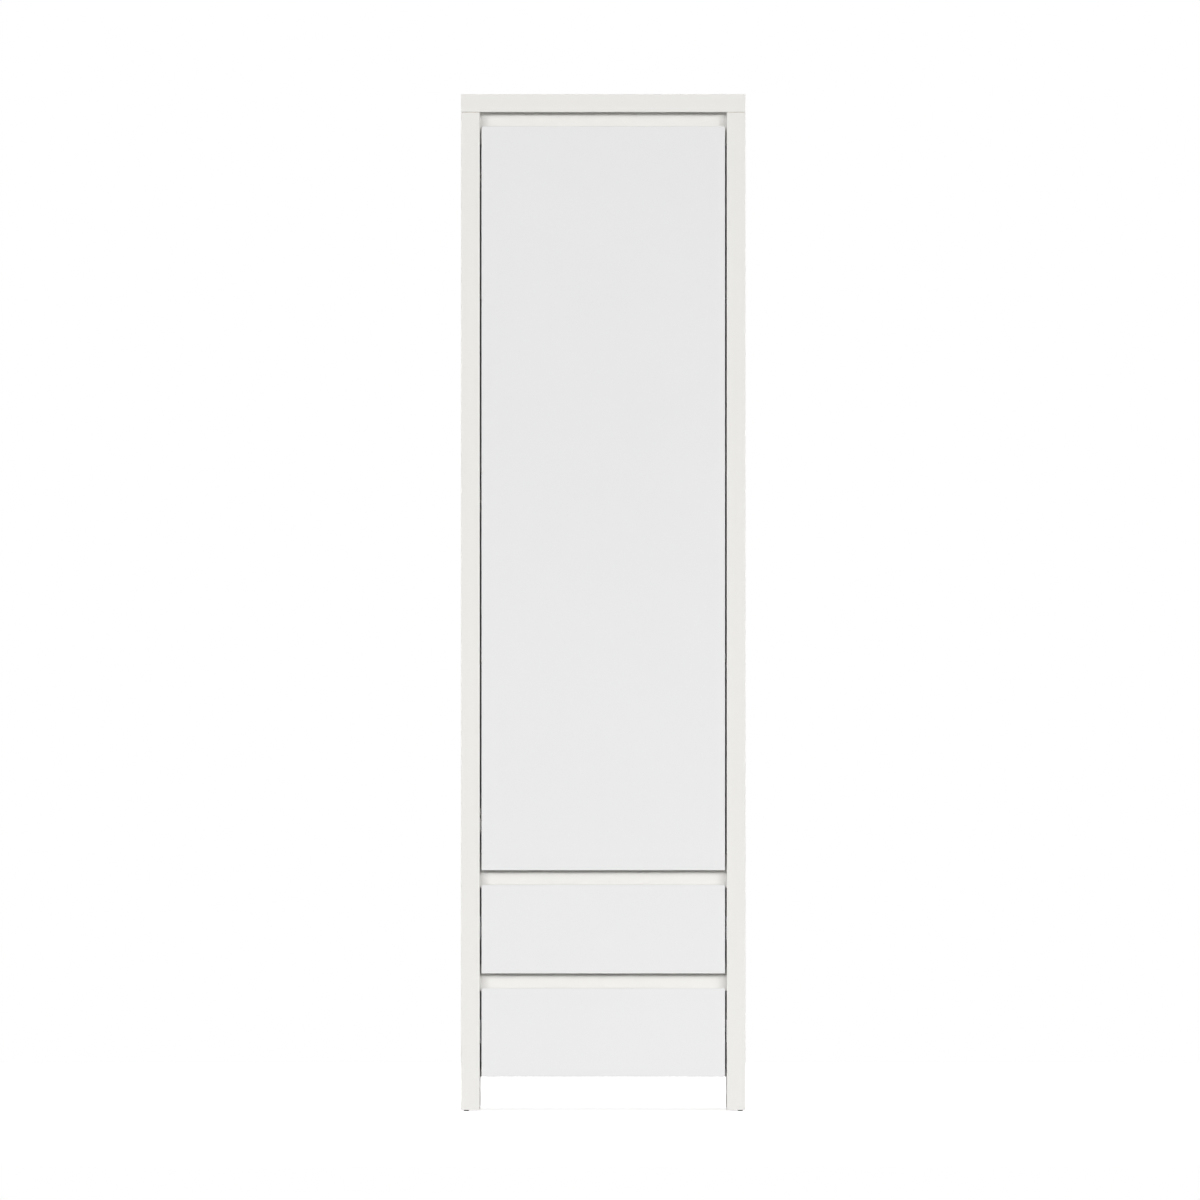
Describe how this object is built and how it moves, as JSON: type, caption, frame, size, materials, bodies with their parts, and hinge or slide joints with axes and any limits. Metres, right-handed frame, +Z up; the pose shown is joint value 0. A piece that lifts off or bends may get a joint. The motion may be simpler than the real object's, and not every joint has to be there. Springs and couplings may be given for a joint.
{
  "type": "wardrobe",
  "caption": "Tall narrow white cupboard with an inset handle-less door, inset handle-less drawers below, finger gaps above each front, and shelves inside.",
  "frame": {"origin": "on the floor, under the middle of the cabinet's outer box", "axes": "+X to the right of someone facing the fronts, the fronts face -Y, +Z up"},
  "size_m": [0.565, 0.56, 2.02],
  "materials": {
    "carcass_melamine": "warm white melamine foil on chipboard, fine satin texture, edge banded",
    "front_lacquer": "smooth satin white foil on chipboard, edge banded",
    "drawer_box_melamine": "white melamine foil on chipboard",
    "hdf_board": "thin fibreboard, white lacquered inside, raw brown behind",
    "white_plastic": "white extruded plastic",
    "glide_plastic": "dark moulded plastic",
    "bumper_rubber": "pale translucent soft plastic",
    "beech_dowel": "raw fluted beech",
    "zinc_cam": "die-cast zinc",
    "zinc_plated_steel": "zinc-plated sheet steel",
    "nickel_plated_steel": "nickel-plated steel",
    "fastener_steel": "zinc-plated steel screws and nails"
  },
  "bodies": {
    "carcass": {"back_joining_strip": "white_plastic", "back_panel_lower": "hdf_board", "back_panel_nails": "fastener_steel", "back_panel_upper": "hdf_board", "bottom_panel": "carcass_melamine", "cam_bolts": "fastener_steel", "cam_locks": "zinc_cam", "compartment_floor": "carcass_melamine", "euro_screws": "fastener_steel", "floor_glides": "glide_plastic", "front_bumpers": "bumper_rubber", "grip_rail_lower": "carcass_melamine", "grip_rail_middle": "carcass_melamine", "grip_rail_top": "carcass_melamine", "hinge_arm_lower": "nickel_plated_steel", "hinge_arm_middle": "nickel_plated_steel", "hinge_arm_upper": "nickel_plated_steel", "hinge_plate_lower": "nickel_plated_steel", "hinge_plate_middle": "nickel_plated_steel", "hinge_plate_upper": "nickel_plated_steel", "rear_rail": "carcass_melamine", "shelf_lower": "carcass_melamine", "shelf_middle": "carcass_melamine", "shelf_pins": "nickel_plated_steel", "shelf_upper": "carcass_melamine", "side_panel_left": "carcass_melamine", "side_panel_right": "carcass_melamine", "slide_lower_left_cabinet_member": "zinc_plated_steel", "slide_lower_right_cabinet_member": "zinc_plated_steel", "slide_upper_left_cabinet_member": "zinc_plated_steel", "slide_upper_right_cabinet_member": "zinc_plated_steel", "top_panel": "carcass_melamine", "wall_bracket": "zinc_plated_steel", "wood_dowels": "beech_dowel"},
    "door": {"door_panel": "front_lacquer", "hinge_cup_lower": "nickel_plated_steel", "hinge_cup_middle": "nickel_plated_steel", "hinge_cup_upper": "nickel_plated_steel", "hinge_pins": "nickel_plated_steel", "hinge_cup_screws": "fastener_steel"},
    "drawer_upper": {"drawer_upper_back": "drawer_box_melamine", "drawer_upper_bottom": "hdf_board", "drawer_upper_dowels": "beech_dowel", "drawer_upper_front": "front_lacquer", "drawer_upper_screws": "fastener_steel", "drawer_upper_side_left": "drawer_box_melamine", "drawer_upper_side_right": "drawer_box_melamine", "slide_upper_left_drawer_member": "zinc_plated_steel", "slide_upper_right_drawer_member": "zinc_plated_steel"},
    "drawer_lower": {"drawer_lower_back": "drawer_box_melamine", "drawer_lower_bottom": "hdf_board", "drawer_lower_dowels": "beech_dowel", "drawer_lower_front": "front_lacquer", "drawer_lower_screws": "fastener_steel", "drawer_lower_side_left": "drawer_box_melamine", "drawer_lower_side_right": "drawer_box_melamine", "slide_lower_left_drawer_member": "zinc_plated_steel", "slide_lower_right_drawer_member": "zinc_plated_steel"},
    "middle_slides_upper": {"slide_upper_middle_members": "zinc_plated_steel"},
    "middle_slides_lower": {"slide_lower_middle_members": "zinc_plated_steel"}
  },
  "joints": [
    {"name": "door_hinge", "type": "hinge", "parent": "carcass", "child": "door", "pos_m": [-0.2296, -0.2735, 1.217], "axis": [0, 0, -1], "range_deg": [0, 105]},
    {"name": "drawer_upper_slide", "type": "slide", "parent": "carcass", "child": "drawer_upper", "axis": [0, -1, 0], "range_m": [0, 0.43]},
    {"name": "middle_slides_upper_slide", "type": "slide", "parent": "carcass", "child": "middle_slides_upper", "axis": [0, -1, 0], "range_m": [0, 0.215]},
    {"name": "drawer_lower_slide", "type": "slide", "parent": "carcass", "child": "drawer_lower", "axis": [0, -1, 0], "range_m": [0, 0.43]},
    {"name": "middle_slides_lower_slide", "type": "slide", "parent": "carcass", "child": "middle_slides_lower", "axis": [0, -1, 0], "range_m": [0, 0.215]}
  ],
  "couplings": [
    {"joint": "middle_slides_upper_slide", "follows": "drawer_upper_slide", "ratio": 0.5},
    {"joint": "middle_slides_lower_slide", "follows": "drawer_lower_slide", "ratio": 0.5}
  ]
}
